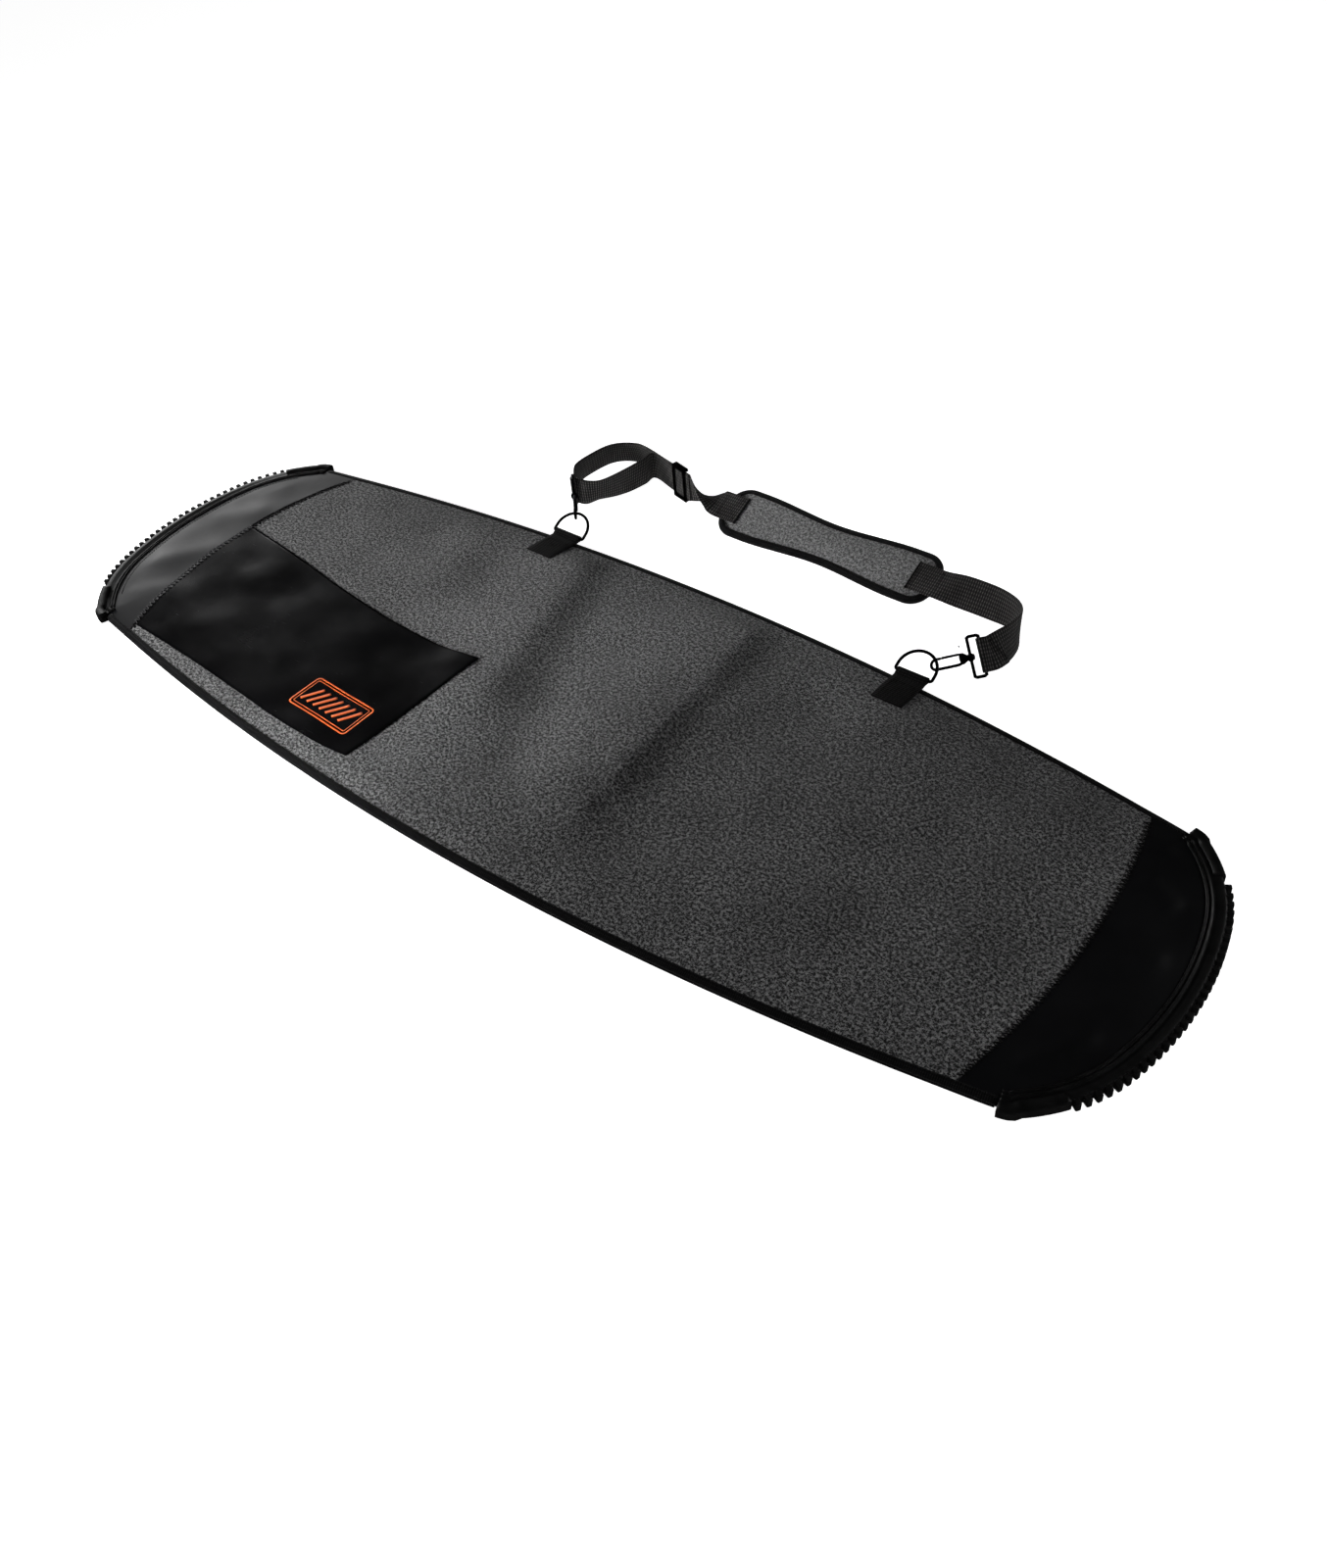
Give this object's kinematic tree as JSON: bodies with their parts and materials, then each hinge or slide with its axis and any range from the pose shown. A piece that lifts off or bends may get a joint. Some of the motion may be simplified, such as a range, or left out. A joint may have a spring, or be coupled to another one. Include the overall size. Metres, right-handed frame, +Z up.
{
  "type": "snowboard bag",
  "caption": "Soft padded board bag with blunt ribbed rubber ends, a fold-open mouth along one edge and a padded clip-on shoulder strap.",
  "frame": {"origin": "middle of the underside, on the surface the bag lies on", "axes": "+X along the bag to its tail, +Y to the far edge that carries the strap, +Z up"},
  "size_m": [1.45, 0.683, 0.0528],
  "materials": {
    "heather_fabric": "matte marled grey felted cloth",
    "pad_cloth": "matte marled grey felted cloth",
    "underside_cloth": "coated black cloth",
    "tarpaulin": "glossy coated tarpaulin",
    "patch_vinyl": "glossy vinyl",
    "print_ink": "flat orange ink",
    "edge_tape": "ribbed black tape",
    "hook_and_loop": "fine black pile",
    "strap_webbing": "ribbed black webbing",
    "end_rubber": "satin moulded rubber",
    "black_metal": "satin black plated metal",
    "spring_steel": "bare spring steel",
    "pad_foam": "closed-cell foam"
  },
  "bodies": {
    "bag": {"bottom_panel": "underside_cloth", "top_panel": "heather_fabric", "nose_top_panel": "tarpaulin", "tail_top_panel": "tarpaulin", "far_binding": "edge_tape", "lower_mouth_binding": "edge_tape", "mouth_binding_ends": "edge_tape", "hook_tape": "hook_and_loop", "nose_guard": "end_rubber", "tail_guard": "end_rubber", "vinyl_patch": "patch_vinyl", "patch_print": "print_ink", "left_ring_tab": "strap_webbing", "right_ring_tab": "strap_webbing"},
    "mouth_lip": {"mouth_lip_panel": "heather_fabric", "upper_mouth_binding": "edge_tape", "loop_tape": "hook_and_loop"},
    "left_ring": {"left_d_ring": "black_metal"},
    "right_ring": {"right_d_ring": "black_metal"},
    "strap": {"left_webbing": "strap_webbing", "right_webbing": "strap_webbing", "pad_base": "underside_cloth", "pad_foam": "pad_foam", "pad_cover": "pad_cloth", "pad_binding": "edge_tape", "left_swivel_loop": "black_metal", "right_swivel_loop": "black_metal"},
    "slider": {"tri_glide": "black_metal"},
    "left_hook": {"left_hook": "black_metal", "left_gate_pin": "spring_steel", "left_gate_spring": "spring_steel"},
    "left_gate": {"left_gate": "black_metal"},
    "right_hook": {"right_hook": "black_metal", "right_gate_pin": "spring_steel", "right_gate_spring": "spring_steel"},
    "right_gate": {"right_gate": "black_metal"}
  },
  "joints": [
    {"name": "mouth_open", "type": "hinge", "parent": "bag", "child": "mouth_lip", "pos_m": [0, -0.212, 0.014], "axis": [-1, 0, 0], "range_deg": [0, 90]},
    {"name": "strap_lift", "type": "hinge", "parent": "bag", "child": "strap", "pos_m": [0, 0.248, 0.0127], "axis": [1, 0, 0], "range_deg": [0, 100]},
    {"name": "left_ring_swing", "type": "hinge", "parent": "bag", "child": "left_ring", "pos_m": [-0.236, 0.248, 0.0127], "axis": [1, 0, 0], "range_deg": [0, 100]},
    {"name": "right_ring_swing", "type": "hinge", "parent": "bag", "child": "right_ring", "pos_m": [0.276, 0.248, 0.0127], "axis": [1, 0, 0], "range_deg": [0, 100]},
    {"name": "slider_slide", "type": "slide", "parent": "strap", "child": "slider", "axis": [-0.9654, 0.2609, 0], "range_m": [0, 0.03]},
    {"name": "left_hook_swivel", "type": "hinge", "parent": "strap", "child": "left_hook", "pos_m": [-0.24404, 0.27431, 0.02728], "axis": [-0.6652, 0.7466, 0], "range_deg": [-30, 25]},
    {"name": "left_gate_open", "type": "hinge", "parent": "left_hook", "child": "left_gate", "pos_m": [-0.26433, 0.29708, 0.03358], "axis": [0.7466, 0.6652, 0], "range_deg": [0, 16], "stiffness_Nm_per_rad": 0.02, "springref_deg": -5.73},
    {"name": "right_hook_swivel", "type": "hinge", "parent": "strap", "child": "right_hook", "pos_m": [0.29452, 0.26836, 0.02219], "axis": [0.6001, 0.7992, -0.0349], "range_deg": [-6, 34]},
    {"name": "right_gate_open", "type": "hinge", "parent": "right_hook", "child": "right_gate", "pos_m": [0.30925, 0.28849, 0.04085], "axis": [0.5647, -0.7442, 0.3569], "range_deg": [0, 16], "stiffness_Nm_per_rad": 0.02, "springref_deg": -5.73}
  ],
  "couplings": [
    {"joint": "left_ring_swing", "follows": "strap_lift", "ratio": 1},
    {"joint": "right_ring_swing", "follows": "strap_lift", "ratio": 1}
  ]
}
